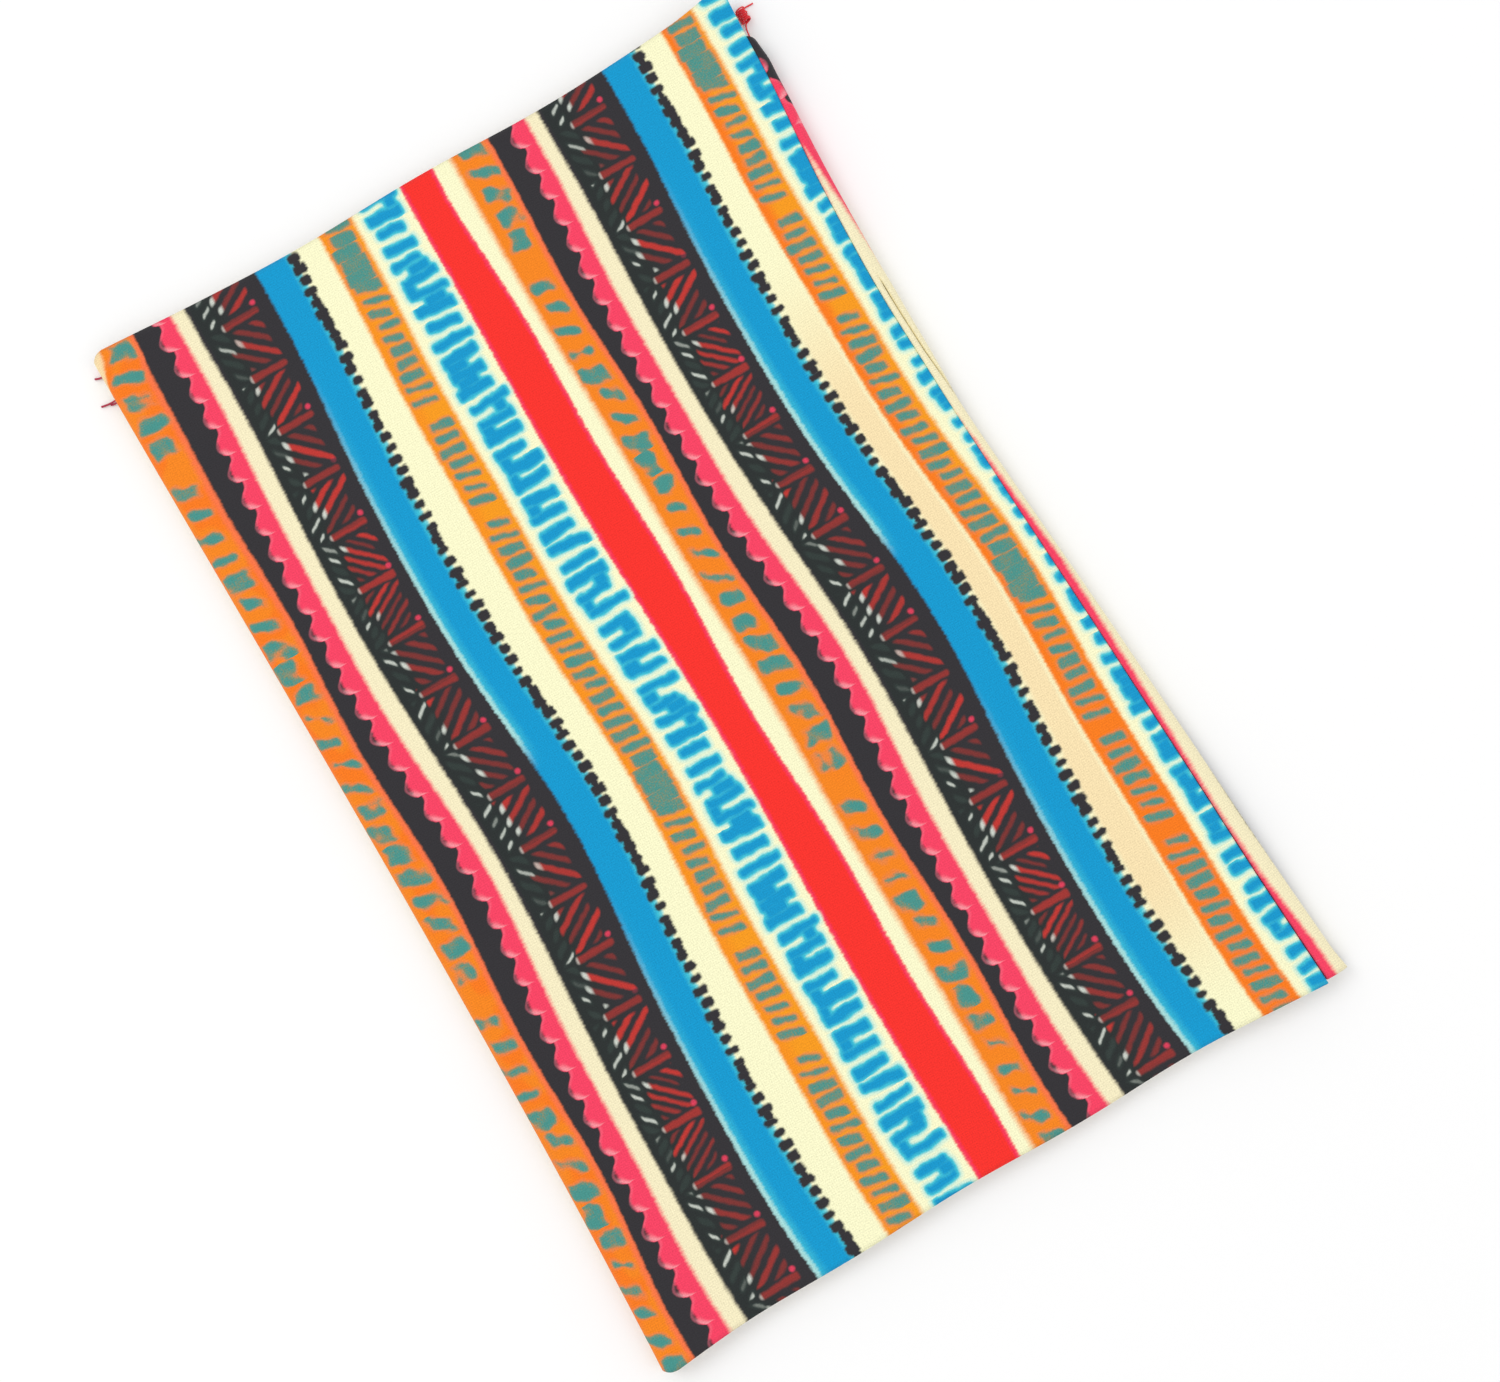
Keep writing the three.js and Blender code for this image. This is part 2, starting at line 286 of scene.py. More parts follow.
def cloth_points():
    """Places of the cloth's middle surface and the print's place on it, as grids of rows along the
    tube by points across it."""
    section, starts = cloth_section()
    rows = np.linspace(-HALF_LENGTH, HALF_LENGTH, ROWS)
    count = len(section)
    index = np.arange(count)
    slips = index >= starts["back"]
    x_flat, y_flat = np.broadcast_arrays(section[None, :, 0], rows[:, None])
    x_front, y_front = relaxed(x_flat, y_flat, False)
    x_back, y_back = relaxed(x_flat, y_flat, True)
    x = np.where(slips, x_back, x_front)
    y = np.where(slips, y_back, y_front)
    z = np.broadcast_to(section[None, :, 1], x.shape).copy()
    on_front = (index >= starts["front"]) & (index < starts["fold"])
    z += np.where(on_front, front_relief(x_flat, y), 0)
    level = section[:, 1] / TOP
    raised = np.where((index < starts["fold"]) | (index >= starts["lip"]), 1, np.clip(level, 0, 1) ** 2)
    z += raised * corner_lift(x, y)

    seam_x = x[:, starts["front"] - 1]
    seam_line_x = relaxed(np.full_like(y, SEAM_LINE), y, False)[0]
    step = np.hypot(np.diff(x, axis=1), np.diff(z, axis=1))
    travelled = np.concatenate([np.zeros((len(rows), 1)), np.cumsum(step, axis=1)], axis=1)
    travelled -= travelled[:, [starts["front"] - 1]]
    place = seam_x[:, None] - travelled + print_drift(x, y)
    edge_top = starts["edge"] + EDGE_STEPS // 2
    on_strip = (index >= edge_top) & (index < starts["low_turn"])
    out = np.clip(x - seam_line_x, 0, None)
    strip = pink_edge(y) + strip_print(y, out) - 2 * REPEAT_ACROSS
    first, last = starts["fold"], edge_top
    missing = strip[:, [last]] - place[:, [last]]
    share = (travelled - travelled[:, [first]]) / (travelled[:, [last]] - travelled[:, [first]])
    place += missing * np.clip(share, 0, 1)
    place = np.where(on_strip, strip, place)
    strip_end = [starts["low_turn"] - 1]
    inside = strip[:, strip_end] - (travelled - travelled[:, strip_end])
    place = np.where(index >= starts["low_turn"], inside, place)

    groove_rows = smoothstep(y, 24, 36) * smoothstep(y, 82, 72)
    groove = 2.5 * groove_rows * bump_at(out, crease_place(y), 0.42)
    z -= np.where(on_strip, groove, 0)
    return np.stack([x, y, z], -1), place


def grid_mesh(name, points, place):
    """A mesh of quads over a grid of points, with the print's place as its texture coordinates."""
    rows, columns = points.shape[:2]
    mesh = bpy.data.meshes.new(name)
    number = np.arange(rows * columns).reshape(rows, columns)
    corners = [number[:-1, :-1], number[1:, :-1], number[1:, 1:], number[:-1, 1:]]
    quads = np.stack(corners, -1).reshape(-1, 4)
    mesh.from_pydata((points.reshape(-1, 3) * MM).tolist(), [], quads.tolist())
    layer = mesh.uv_layers.new(name="print_place")
    coordinates = np.stack([place, points[..., 1]], -1).reshape(-1, 2) * MM
    layer.data.foreach_set("uv", coordinates[quads.reshape(-1)].astype(np.float32).ravel())
    mesh.polygons.foreach_set("use_smooth", [True] * len(mesh.polygons))
    return mesh


def add_object(name, data, slot, *replaced):
    """Links a new piece that rides on the part's one body and stands for CAD nodes."""
    piece = bpy.data.objects.new(name, data)
    bpy.context.scene.collection.objects.link(piece)
    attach(piece, "root")
    if replaced:
        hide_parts(*replaced)
    return piece


# ---------------------------------------------------------------- node helpers


def linear(colour):
    """An sRGB colour of 0 to 255 as linear RGBA."""
    shares = [channel / 255 for channel in colour]
    return [c / 12.92 if c <= 0.04045 else ((c + 0.055) / 1.055) ** 2.4 for c in shares] + [1.0]


class Tree:
    """A node tree with short ways to add nodes to it."""

    def __init__(self, tree):
        self.tree = tree

    def node(self, kind, **settings):
        made = self.tree.nodes.new(kind)
        for name, value in settings.items():
            setattr(made, name, value)
        return made

    def feed(self, socket, value):
        if isinstance(value, Field):
            self.tree.links.new(value.socket, socket)
        else:
            socket.default_value = value

    def math(self, operation, *values):
        made = self.node("ShaderNodeMath", operation=operation)
        for socket, value in zip(made.inputs, values):
            self.feed(socket, value)
        return Field(self, made.outputs[0])

    def vector(self, x, y, z=0.0):
        made = self.node("ShaderNodeCombineXYZ")
        for socket, value in zip(made.inputs, (x, y, z)):
            self.feed(socket, value)
        return Field(self, made.outputs[0])

    def noise(self, x, y, scale, detail=2.0):
        made = self.node("ShaderNodeTexNoise", noise_dimensions="2D")
        self.feed(made.inputs["Vector"], self.vector(x, y))
        made.inputs["Scale"].default_value = scale
        made.inputs["Detail"].default_value = detail
        return Field(self, made.outputs["Fac"])

    def random(self, index, seed):
        """Three random shares, fixed for each whole number."""
        made = self.node("ShaderNodeTexWhiteNoise", noise_dimensions="1D")
        self.feed(made.inputs["W"], index + float(seed))
        split = self.node("ShaderNodeSeparateColor")
        self.tree.links.new(made.outputs["Color"], split.inputs[0])
        return [Field(self, socket) for socket in split.outputs[:3]]

    def smooth(self, value, low, high):
        """0 below low and 1 above high, or the other way round when low is the higher."""
        made = self.node("ShaderNodeMapRange", interpolation_type="SMOOTHSTEP")
        for name, given in (("Value", value), ("From Min", low), ("From Max", high)):
            self.feed(made.inputs[name], given)
        return Field(self, made.outputs[0])

    def over(self, below, above, mask):
        """One colour painted over another where the mask is 1."""
        made = self.node("ShaderNodeMix", data_type="RGBA")
        self.feed(made.inputs[0], mask)
        self.feed(made.inputs[6], below if isinstance(below, Field) else linear(below))
        self.feed(made.inputs[7], above if isinstance(above, Field) else linear(above))
        return Field(self, made.outputs[2])


class Field:
    """A value that changes over a surface: an output socket that can be reckoned with."""

    def __init__(self, tree, socket):
        self.tree = tree
        self.socket = socket

    def __add__(self, other):
        return self.tree.math("ADD", self, other)

    def __radd__(self, other):
        return self.tree.math("ADD", other, self)

    def __sub__(self, other):
        return self.tree.math("SUBTRACT", self, other)

    def __rsub__(self, other):
        return self.tree.math("SUBTRACT", other, self)

    def __mul__(self, other):
        return self.tree.math("MULTIPLY", self, other)

    def __rmul__(self, other):
        return self.tree.math("MULTIPLY", other, self)

    def __truediv__(self, other):
        return self.tree.math("DIVIDE", self, other)

    def __pow__(self, other):
        return self.tree.math("POWER", self, other)

    def __abs__(self):
        return self.tree.math("ABSOLUTE", self)

    def floor(self):
        return self.tree.math("FLOOR", self)

    def wrapped(self, length):
        return self.tree.math("FLOORED_MODULO", self, length)

    def cos(self):
        return self.tree.math("COSINE", self)

    def least(self, other):
        return self.tree.math("MINIMUM", self, other)

    def most(self, other):
        return self.tree.math("MAXIMUM", self, other)

    def root(self):
        return self.tree.math("SQRT", self)


# ---------------------------------------------------------------- the print

TEAL = (72, 150, 142)
DUSTY_TEAL = (142, 142, 104)
SALMON = (255, 118, 76)
DEEP_ORANGE = (254, 118, 22)
CYAN = (70, 206, 220)
PALE_CYAN = (196, 240, 226)
STROKE_BLUE = (10, 154, 208)
STROKE_RED = (196, 54, 48)
DULL_RED = (126, 50, 48)
DARK_GREEN = (34, 46, 42)
PALE_TICK = (206, 212, 202)
SMOKY_GREEN = (72, 94, 86)
PALE_PINK = (252, 196, 200)
WARM_PINK = (255, 124, 146)
ROSE = (252, 50, 96)
PEACH = (251, 214, 160)
MARK_HALO = (232, 134, 88)
LINING = (241, 230, 207)
# Each thread's colour pair: first the painted shade in the grooves between its plies, then the colour
# on the plies' crests.
THREAD_RED = ((206, 20, 34), (248, 44, 54))  # the thread's darkest and lightest colour
THREAD_CRIMSON = ((156, 30, 58), (184, 50, 80))

# How many of each mark there are along one repeat.
DROPS = 20
HATCH_GROUPS = 10
BEADS = 47
STROKES = 33


def box_distance(x, y, half_x, half_y, corner):
    """Distance outside a box with rounded corners, below 0 inside it."""
    return rounded(abs(x) - half_x, abs(y) - half_y, corner)


def rounded(out_x, out_y, corner):
    """Distance outside a shape with rounded corners, from the distances outside its two sides."""
    far_x = (out_x + corner).most(0.0)
    far_y = (out_y + corner).most(0.0)
    return (far_x * far_x + far_y * far_y).root() - corner


def cells(along, count, shift=0.0):
    """Divides a repeat into equal cells. Returns each cell's number and the place in it from its
    middle, in millimetres along the tube."""
    scaled = along * float(count) + shift
    number = scaled.floor()
    return number.wrapped(float(count)), (scaled - number - 0.5) * (REPEAT_ALONG / count)


def paint_scallops(t, colour, x, along, edges, rough):
    """The black stripe's edge on the pink: a row of round pink drops that lean down and left."""
    number, place = cells(along, DROPS, 0.35)
    size = t.random(number, 11)
    fall = 0.5 - place / (REPEAT_ALONG / DROPS)
    slope = t.smooth(fall, 0.0, 0.62)
    round_end = (1.0 - ((fall - 0.62) / 0.38).most(0.0) ** 2.0).most(0.0).root()
    depth = t.math("SMOOTH_MAX", (3.3 + size[0] * 1.1) * slope * round_end, 0.6, 0.9)
    from_edge = x - edges["pink"] - 2.4 + depth - rough * 0.4
    on_black = t.smooth(x, edges["black"] - 0.6, edges["black"] + 0.9)
    colour = t.over(colour, BLACK, t.smooth(from_edge, 0.5, -0.3) * on_black)
    rim = t.smooth(from_edge, -0.2, 0.5) * t.smooth(from_edge, 1.6, 0.5)
    colour = t.over(colour, WARM_PINK, rim * 0.3)
    glow = t.smooth(from_edge, 0.1, 1.3) * t.smooth(from_edge, 3.6, 1.3)
    return t.over(colour, PALE_PINK, glow * t.smooth(fall, 0.62, 0.9) * 0.5)


def paint_hatching(t, colour, x, along, edges, rough):
    """Groups of slanting strokes on the wide black stripe, leaning one way and then the other, with
    a level stroke between the groups and short pale ticks at the left ends."""
    pitch = REPEAT_ALONG / HATCH_GROUPS
    number, place = cells(along, HATCH_GROUPS, 0.75)
    across = x - (edges["hatch"] + edges["blue"]) * 0.5
    left_part = t.smooth(across, 2.0, -6.0) * t.smooth(across, -12.4, -11.0)
    colour = t.over(colour, DARK_GREEN, left_part * 0.6)
    group = t.random(number, 23)
    spacing = 3.9 - t.smooth(group[1], 0.76, 0.78) * 1.0
    rising = (number + 1.0).wrapped(2.0)
    slope = rising * (1.52 + group[0] * 0.12) - 0.95 + group[0] * 0.08
    line = (place - slope * across) / (slope * slope + 1.0).root() + rough * 0.2
    stroke = (line / spacing + group[1]).floor()
    off_line = line - (stroke + 0.5 - group[1]) * spacing
    each = t.random(stroke * 3.0 + number * 17.0, 5)
    start = -6.6 + each[0] * 3.4
    end = 8.6 - each[1] * 2.6
    reach = pitch * 0.5 - 2.0 - each[2] * 1.2
    beyond = (start - across).most(across - end).most(abs(place) - reach)
    distance = rounded(abs(off_line) - spacing * 0.26 + 0.24 * each[1], beyond, 0.8)
    strokes = t.over(DULL_RED, STROKE_RED, t.smooth(each[1], 0.6, 0.1))
    tipped = t.smooth(across - start, 2.4, 1.0) * t.smooth(each[2], 0.45, 0.6)
    strokes = t.over(strokes, PALE_TICK, tipped)
    colour = t.over(colour, strokes, t.smooth(distance, 0.5, -0.6))

    turned = abs(place) - pitch * 0.5
    level = box_distance(across - 1.4, turned + (group[2] - 0.5) * across * 0.12, 6.8, 1.15, 0.9)
    level_red = t.over(DULL_RED, STROKE_RED, group[1] * 0.5)
    level_colour = t.over(level_red, PALE_TICK, t.smooth(across, -4.2, -5.2) * 0.7)
    colour = t.over(colour, level_colour, t.smooth(level, 0.5, -0.6))

    tick_line = line + spacing * 0.5 * group[1]
    tick_number = (tick_line / spacing).floor()
    off_tick = tick_line - (tick_number + 0.5) * spacing
    tick = t.random(tick_number * 5.0 + number * 29.0, 71)
    tick_beyond = abs(across + 7.2 + tick[0] * 0.8) - 0.8 - tick[1] * 1.4
    tick_distance = rounded(abs(off_tick) - 0.45, tick_beyond.most(abs(place) - pitch * 0.5 + 1.0), 0.5)
    colour = t.over(colour, SMOKY_GREEN, t.smooth(tick_distance, 1.2, 0.0) * 0.2)
    pale = t.smooth(tick_distance, 0.45, -0.35) * t.smooth(tick[2], 0.3, 0.9)
    colour = t.over(colour, PALE_TICK, pale * 0.9)

    dot = box_distance(across - 7.4, place + pitch * 0.36, 0.9, 0.9, 0.9)
    return t.over(colour, PINK, t.smooth(dot, 0.5, -0.5) * t.smooth(group[2], 0.35, 0.5) * 0.75)


def paint_blue_edges(t, colour, x, along, edges, rough):
    """The blue stripe's soft cyan rim, and the black beads down its right edge, many run together."""
    from_left = x - edges["blue"]
    share = along.wrapped(1.0)
    lit = t.smooth(share, 0.02, 0.1) * t.smooth(share, 0.82, 0.3)
    rim = t.smooth(from_left, -0.3, 0.8) * t.smooth(from_left, 4.6, 0.8)
    colour = t.over(colour, CYAN, rim * lit * 0.6)
    line = t.smooth(from_left, -0.8, 0.2) * t.smooth(from_left, 1.9, 0.5)
    colour = t.over(colour, PALE_CYAN, line * lit * 0.7)
    from_right = x - edges["cream"]
    glow = t.smooth(from_right, -2.6, -0.2) * t.smooth(from_right, 1.4, 0.2)
    colour = t.over(colour, CYAN, glow * 0.8)
    number, place = cells(along, BEADS)
    size = t.random(number, 91)
    bead_across = from_right - 0.7 + (size[2] - 0.5) * 0.9
    bead_along = place + rough * 0.4
    bead = box_distance(bead_across, bead_along, 1.75 + size[0] * 0.8, 1.1 + size[1] * 0.7, 1.1)
    join_number, join_place = cells(along, BEADS, 0.5)
    join = t.random(join_number, 37)
    long_zone = t.smooth(share, 0.68, 0.71) * t.smooth(share, 1.0, 0.98)
    link = box_distance(from_right - 0.8, join_place, 0.85 + join[0] * 0.7, 1.6, 0.6)
    link = link + t.smooth(join[2] - long_zone * 0.36, 0.24, 0.28) * 4.0
    return t.over(colour, BLACK, t.smooth(bead.least(link), 0.6, -0.5))


def paint_marks(t, colour, x, along, middle, family, grain, bend):
    """A column of teal marks on an orange stripe."""
    number, place = cells(along, family["count"], family["shift"])
    size = t.random(number, family["seed"])
    spare = t.random(number, family["seed"] + 400)
    across = x - middle - (size[0] - 0.5) * family["wander"]
    tilted = place + across * (family["tilt"] * (size[1] + 0.15))
    merging = t.smooth((along - family["merge_from"]).wrapped(1.0), 0.14, 0.06)
    half_x = family["half_x"][0] + spare[0] * family["half_x"][1]
    half_y = family["half_y"][0] + size[2] ** 1.6 * family["half_y"][1] + merging * family["merge"]
    distance = box_distance(across, tilted, half_x, half_y, 0.9)
    distance = distance + bend * family["bend"] + (grain - 0.5) * 0.7
    drawn = t.smooth(spare[1], 0.06, 0.062)
    colour = t.over(colour, MARK_HALO, t.smooth(distance, 1.5, 0.1) * drawn * 0.6)
    fill = t.over(DUSTY_TEAL, TEAL, t.smooth(distance * 0.5 - grain * 1.6, -0.6, -1.5))
    return t.over(colour, fill, t.smooth(distance, 0.5, -0.4) * drawn)


ORANGE_MARKS = {
    "count": 23, "shift": 0.1, "seed": 131, "wander": 2.6, "tilt": 0.5, "bend": 3.4,
    "half_x": (2.4, 2.2), "half_y": (0.9, 2.6), "merge_from": 0.3, "merge": 1.2,
}
AMBER_MARKS = {
    "count": 42, "shift": 0.4, "seed": 211, "wander": 1.4, "tilt": 0.28, "bend": 1.1,
    "half_x": (3.4, 1.5), "half_y": (0.95, 0.9), "merge_from": 0.86, "merge": 1.7,
}


def paint_strokes(t, colour, x, along, edges, rough, bend):
    """Short fat blue strokes across the second wide cream stripe, some joined at one side."""
    number, place = cells(along, STROKES)
    size = t.random(number, 307)
    spare = t.random(number, 353)
    left = edges["stroke_cream"] + 2.8 + size[0] * 1.6
    right = edges["red"] - 1.0 - spare[0] * 3.6
    across = x - (left + right) * 0.5
    tilted = place + across * (spare[1] - 0.35) * 0.2 + (size[2] - 0.5) * 0.8 + bend * 1.2
    stroke = box_distance(across, tilted, (right - left) * 0.5, 1.8 + size[1] * 0.8, 1.5)
    join_number, join_place = cells(along, STROKES, 0.5)
    join = t.random(join_number, 401)
    middle = (edges["stroke_cream"] + edges["red"]) * 0.5 + 0.2
    side = t.smooth(join[0], 0.48, 0.52) * 2.0 - 1.0
    reach = 2.0 + join[1] * 2.6
    join_across = x - middle - side * (6.4 - reach)
    link = box_distance(join_across, join_place, reach, 2.4, 1.6)
    link = link + t.smooth(join[2], 0.58, 0.54) * 6.0
    distance = t.math("SMOOTH_MIN", stroke, link, 1.8) + rough * 0.3
    colour = t.over(colour, PALE_CYAN, t.smooth(distance, 1.9, 0.3) * 0.7)
    colour = t.over(colour, CYAN, t.smooth(distance, 0.6, -0.4))
    return t.over(colour, STROKE_BLUE, t.smooth(distance, 0.1, -1.5))


def on_stripe(t, x, left, right, fade_in, fade_out):
    """1 on a stripe and 0 off it. Each fade is a pair of places, measured from that side's edge."""
    entering = t.smooth(x, left + fade_in[0], left + fade_in[1])
    return entering * t.smooth(x, right + fade_out[0], right + fade_out[1])


def paint_tints(t, colour, x, x_true, y_true, edges):
    """Slow changes of tone over the cloth: warmer cream and deeper amber beside the seam, a peach
    corner beside the fold and blotches of deeper orange."""
    on_cream = on_stripe(t, x, edges["cream"], edges["amber"], (1.0, 4.0), (0.0, -2.0))
    beside_seam = t.smooth(x_true, 62.0, 82.0)
    peach = beside_seam * t.smooth(y_true, 110.0, 40.0) * t.smooth(y_true, -185.0, -130.0)
    colour = t.over(colour, PEACH, on_cream * peach * 0.62)
    before_orange = t.smooth(x, edges["orange"] + 1.0, edges["orange"] - 1.0)
    colour = t.over(colour, PEACH, t.smooth(x_true, -108.0, -116.0) * before_orange * 0.75)
    blotch = t.noise(x_true * 1.6, y_true, 0.06, 1.0)
    on_orange = on_stripe(t, x, edges["orange"], edges["black"], (0.0, 2.0), (0.0, -1.0))
    beside_fold = t.smooth(x_true, -60.0, -95.0) * 0.6 + 0.1
    colour = t.over(colour, DEEP_ORANGE, on_orange * t.smooth(blotch, 0.44, 0.6) * beside_fold)
    on_amber = on_stripe(t, x, edges["amber"], edges["stroke_cream"], (-0.5, 1.0), (0.5, -1.0))
    left_part = t.smooth(x, edges["amber"] + 6.0, edges["amber"] + 1.5) * (0.3 + beside_seam * 0.7)
    deep = (beside_seam * t.smooth(y_true, 20.0, -100.0)).most(left_part)
    return t.over(colour, DEEP_ORANGE, on_amber * deep * 0.85)


def paint_fringes(t, colour, x, edges):
    """The rosy edges of the red stripe and the salmon edge of the orange one beside the black."""
    in_red = (x - edges["red"]).least(edges["wide_cream"] - x)
    colour = t.over(colour, ROSE, t.smooth(in_red, -0.6, 0.4) * t.smooth(in_red, 1.8, 0.5) * 0.8)
    before_black = edges["black"] - x
    fringe = t.smooth(before_black, 2.6, 0.6) * t.smooth(before_black, -0.7, 0.3)
    return t.over(colour, SALMON, fringe * 0.85)


def print_group():
    """The whole print as a node group, from its place on the cloth to its colour."""
    group = bpy.data.node_groups.new("stripe_print", "ShaderNodeTree")
    group.interface.new_socket("Place", in_out="INPUT", socket_type="NodeSocketVector")
    group.interface.new_socket("Colour", in_out="OUTPUT", socket_type="NodeSocketColor")
    t = Tree(group)
    inward = t.node("NodeGroupInput")
    outward = t.node("NodeGroupOutput")
    split = t.node("ShaderNodeSeparateXYZ")
    group.links.new(inward.outputs[0], split.inputs[0])
    x_true = Field(t, split.outputs[0]) / MM
    y_true = Field(t, split.outputs[1]) / MM

    rough = t.noise(x_true, y_true, 0.34, 3.0) - 0.5
    bend = t.noise(x_true, y_true, 0.2, 0.0) - 0.5
    grain = t.noise(x_true * 1.3, y_true, 1.5, 1.0)
    feather = t.noise(x_true * 0.35, y_true, 1.4, 0.0) - 0.5
    even_x = (x_true - WRAP).wrapped(REPEAT_ACROSS) + (WRAP - REPEAT_ACROSS)
    x = even_x + rough * 0.7
    along = (y_true - REPEAT_START + rough * 0.8) / REPEAT_ALONG
    turn = along * (2 * math.pi)
    wave = (turn + SWAY_PHASE).cos()
    ripple = (turn * 2.0 + RIPPLE_PHASE).cos()
    edges = {name: stripe_edge(name, wave, ripple) for name in STRIPES}

    soft_x = x + feather * 0.6
    colour = CREAM
    for name, (_, _, _, softness, paint) in STRIPES.items():
        inside = t.smooth(soft_x, edges[name] - softness, edges[name] + softness)
        colour = t.over(colour, paint, inside)
    colour = paint_tints(t, colour, soft_x, x_true, y_true, edges)
    colour = paint_fringes(t, colour, soft_x, edges)
    colour = paint_scallops(t, colour, x, along, edges, rough)
    colour = paint_hatching(t, colour, even_x, along, edges, rough)
    colour = paint_blue_edges(t, colour, soft_x, along, edges, rough)
    orange_middle = (edges["orange"] + edges["black"]) * 0.5
    amber_middle = (edges["amber"] + edges["stroke_cream"]) * 0.5
    colour = paint_marks(t, colour, x, along, orange_middle, ORANGE_MARKS, grain, bend)
    colour = paint_marks(t, colour, x, along, amber_middle, AMBER_MARKS, grain, bend)
    colour = paint_strokes(t, colour, even_x, along, edges, rough, bend)
    group.links.new(colour.socket, outward.inputs[0])
    return group


# ---------------------------------------------------------------- materials


def surface_material(name, roughness, sheen):
    """A new material, its tree and its shader."""
    material = bpy.data.materials.new(name)
    material.use_nodes = True
    shader = material.node_tree.nodes["Principled BSDF"]
    shader.inputs["Roughness"].default_value = roughness
    shader.inputs["Specular IOR Level"].default_value = 0.25
    shader.inputs["Sheen Weight"].default_value = sheen
    shader.inputs["Sheen Roughness"].default_value = 0.5
    return material, Tree(material.node_tree), shader


def knit_height(x, y):
    """Rows of small V stitches, as a height from 0 to 1."""
    column = abs((x / 0.72).wrapped(1.0) - 0.5) * 2.0
    row = (y / 0.8 + column * 0.45) * (2 * math.pi)
    return row.cos() * 0.3 + column * 0.35 + 0.35


def cloth_material(name, group, print_share):
    """Stretch knit: the print, or its faint ghost on the lining side, over rows of stitches. The colour
    is darkened in the hollows between stitches, which is painted shade, and varied at random by fuzz.
    """
    material, t, shader = surface_material(name, 0.92, 0.08)
    place = t.node("ShaderNodeUVMap", uv_map="print_place")
    split = t.node("ShaderNodeSeparateXYZ")
    t.tree.links.new(place.outputs[0], split.inputs[0])
    x = Field(t, split.outputs[0]) / MM
    y = Field(t, split.outputs[1]) / MM
    printed = t.node("ShaderNodeGroup", node_tree=group)
    t.tree.links.new(place.outputs[0], printed.inputs[0])
    colour = Field(t, printed.outputs[0])
    if print_share < 1:
        colour = t.over(LINING, colour, print_share)
    knit = knit_height(x, y)
    fuzz = t.noise(x, y, 2.0, 3.0)
    # Painted shade: the knit height darkens the colour in the hollows between stitches. The fuzz noise
    # varies the tone at random.
    tone = 0.825 + knit * 0.14 + (fuzz - 0.5) * 0.42
    shaded = t.node("ShaderNodeMix", data_type="RGBA", blend_type="MULTIPLY")
    shaded.inputs[0].default_value = 1.0
    t.feed(shaded.inputs[6], colour)
    t.feed(shaded.inputs[7], t.vector(tone, tone, tone))
    t.tree.links.new(shaded.outputs[2], shader.inputs["Base Color"])
    bump = t.node("ShaderNodeBump")
    bump.inputs["Strength"].default_value = 0.35
    bump.inputs["Distance"].default_value = 0.12 * MM
    t.feed(bump.inputs["Height"], knit + fuzz * 0.8)
    t.tree.links.new(bump.outputs[0], shader.inputs["Normal"])
    return material


def thread_material(name, dark, light):
    """Twisted polyester sewing thread, with painted shade in the grooves between its plies."""
    material, t, shader = surface_material(name, 0.6, 0.2)
    where = t.node("ShaderNodeTexCoord")
    split = t.node("ShaderNodeSeparateXYZ")
    t.tree.links.new(where.outputs["Object"], split.inputs[0])
    x, y, z = [Field(t, socket) / MM for socket in split.outputs]
    # ply is 0 in the grooves and 1 on the crests. It drives the bump and paints shade into the grooves.
    ply = ((x + y * 1.4 + z * 0.8) * (2 * math.pi / 0.55)).cos() * 0.5 + 0.5
    colour = t.over(dark, light, ply)
    t.tree.links.new(colour.socket, shader.inputs["Base Color"])
    bump = t.node("ShaderNodeBump")
    bump.inputs["Strength"].default_value = 0.5
    bump.inputs["Distance"].default_value = 0.05 * MM
    t.feed(bump.inputs["Height"], ply)
    t.tree.links.new(bump.outputs[0], shader.inputs["Normal"])
    return material


# ---------------------------------------------------------------- pieces


def add_cloth():
    points, place = cloth_points()
    mesh = grid_mesh("neck_tube", points, place)
    group = print_group()
    mesh.materials.append(cloth_material("printed_knit", group, 1.0))
    mesh.materials.append(cloth_material("knit_lining", group, 0.12))
    tube = add_object("neck_tube", mesh, "printed_knit", "front_layer", "back_layer")
    shell = tube.modifiers.new("thickness", "SOLIDIFY")
    shell.thickness = THICKNESS * MM
    shell.offset = 0
    shell.material_offset = 1
    shell.material_offset_rim = 1


def curve_piece(name, points, diameter, material, *replaced):
    """A round thread through points in millimetres, as a piece that stands for CAD nodes."""
    curve = bpy.data.curves.new(name, "CURVE")
    curve.dimensions = "3D"
    curve.bevel_depth = diameter / 2 * MM
    curve.bevel_resolution = 2
    curve.use_fill_caps = True
    spline = curve.splines.new("POLY")
    spline.points.add(len(points) - 1)
    places = np.concatenate([np.asarray(points) * MM, np.ones((len(points), 1))], axis=1)
    spline.points.foreach_set("co", places.ravel())
    curve.materials.append(material)
    return add_object(name, curve, "seam_thread", *replaced)


def seam_path(x, y, z):
    """Carries points of the straight seam to where the relaxed cloth holds them."""
    x, y = relaxed(np.asarray(x), np.asarray(y), True)
    return np.stack([x, y, z + corner_lift(x, y)], -1)


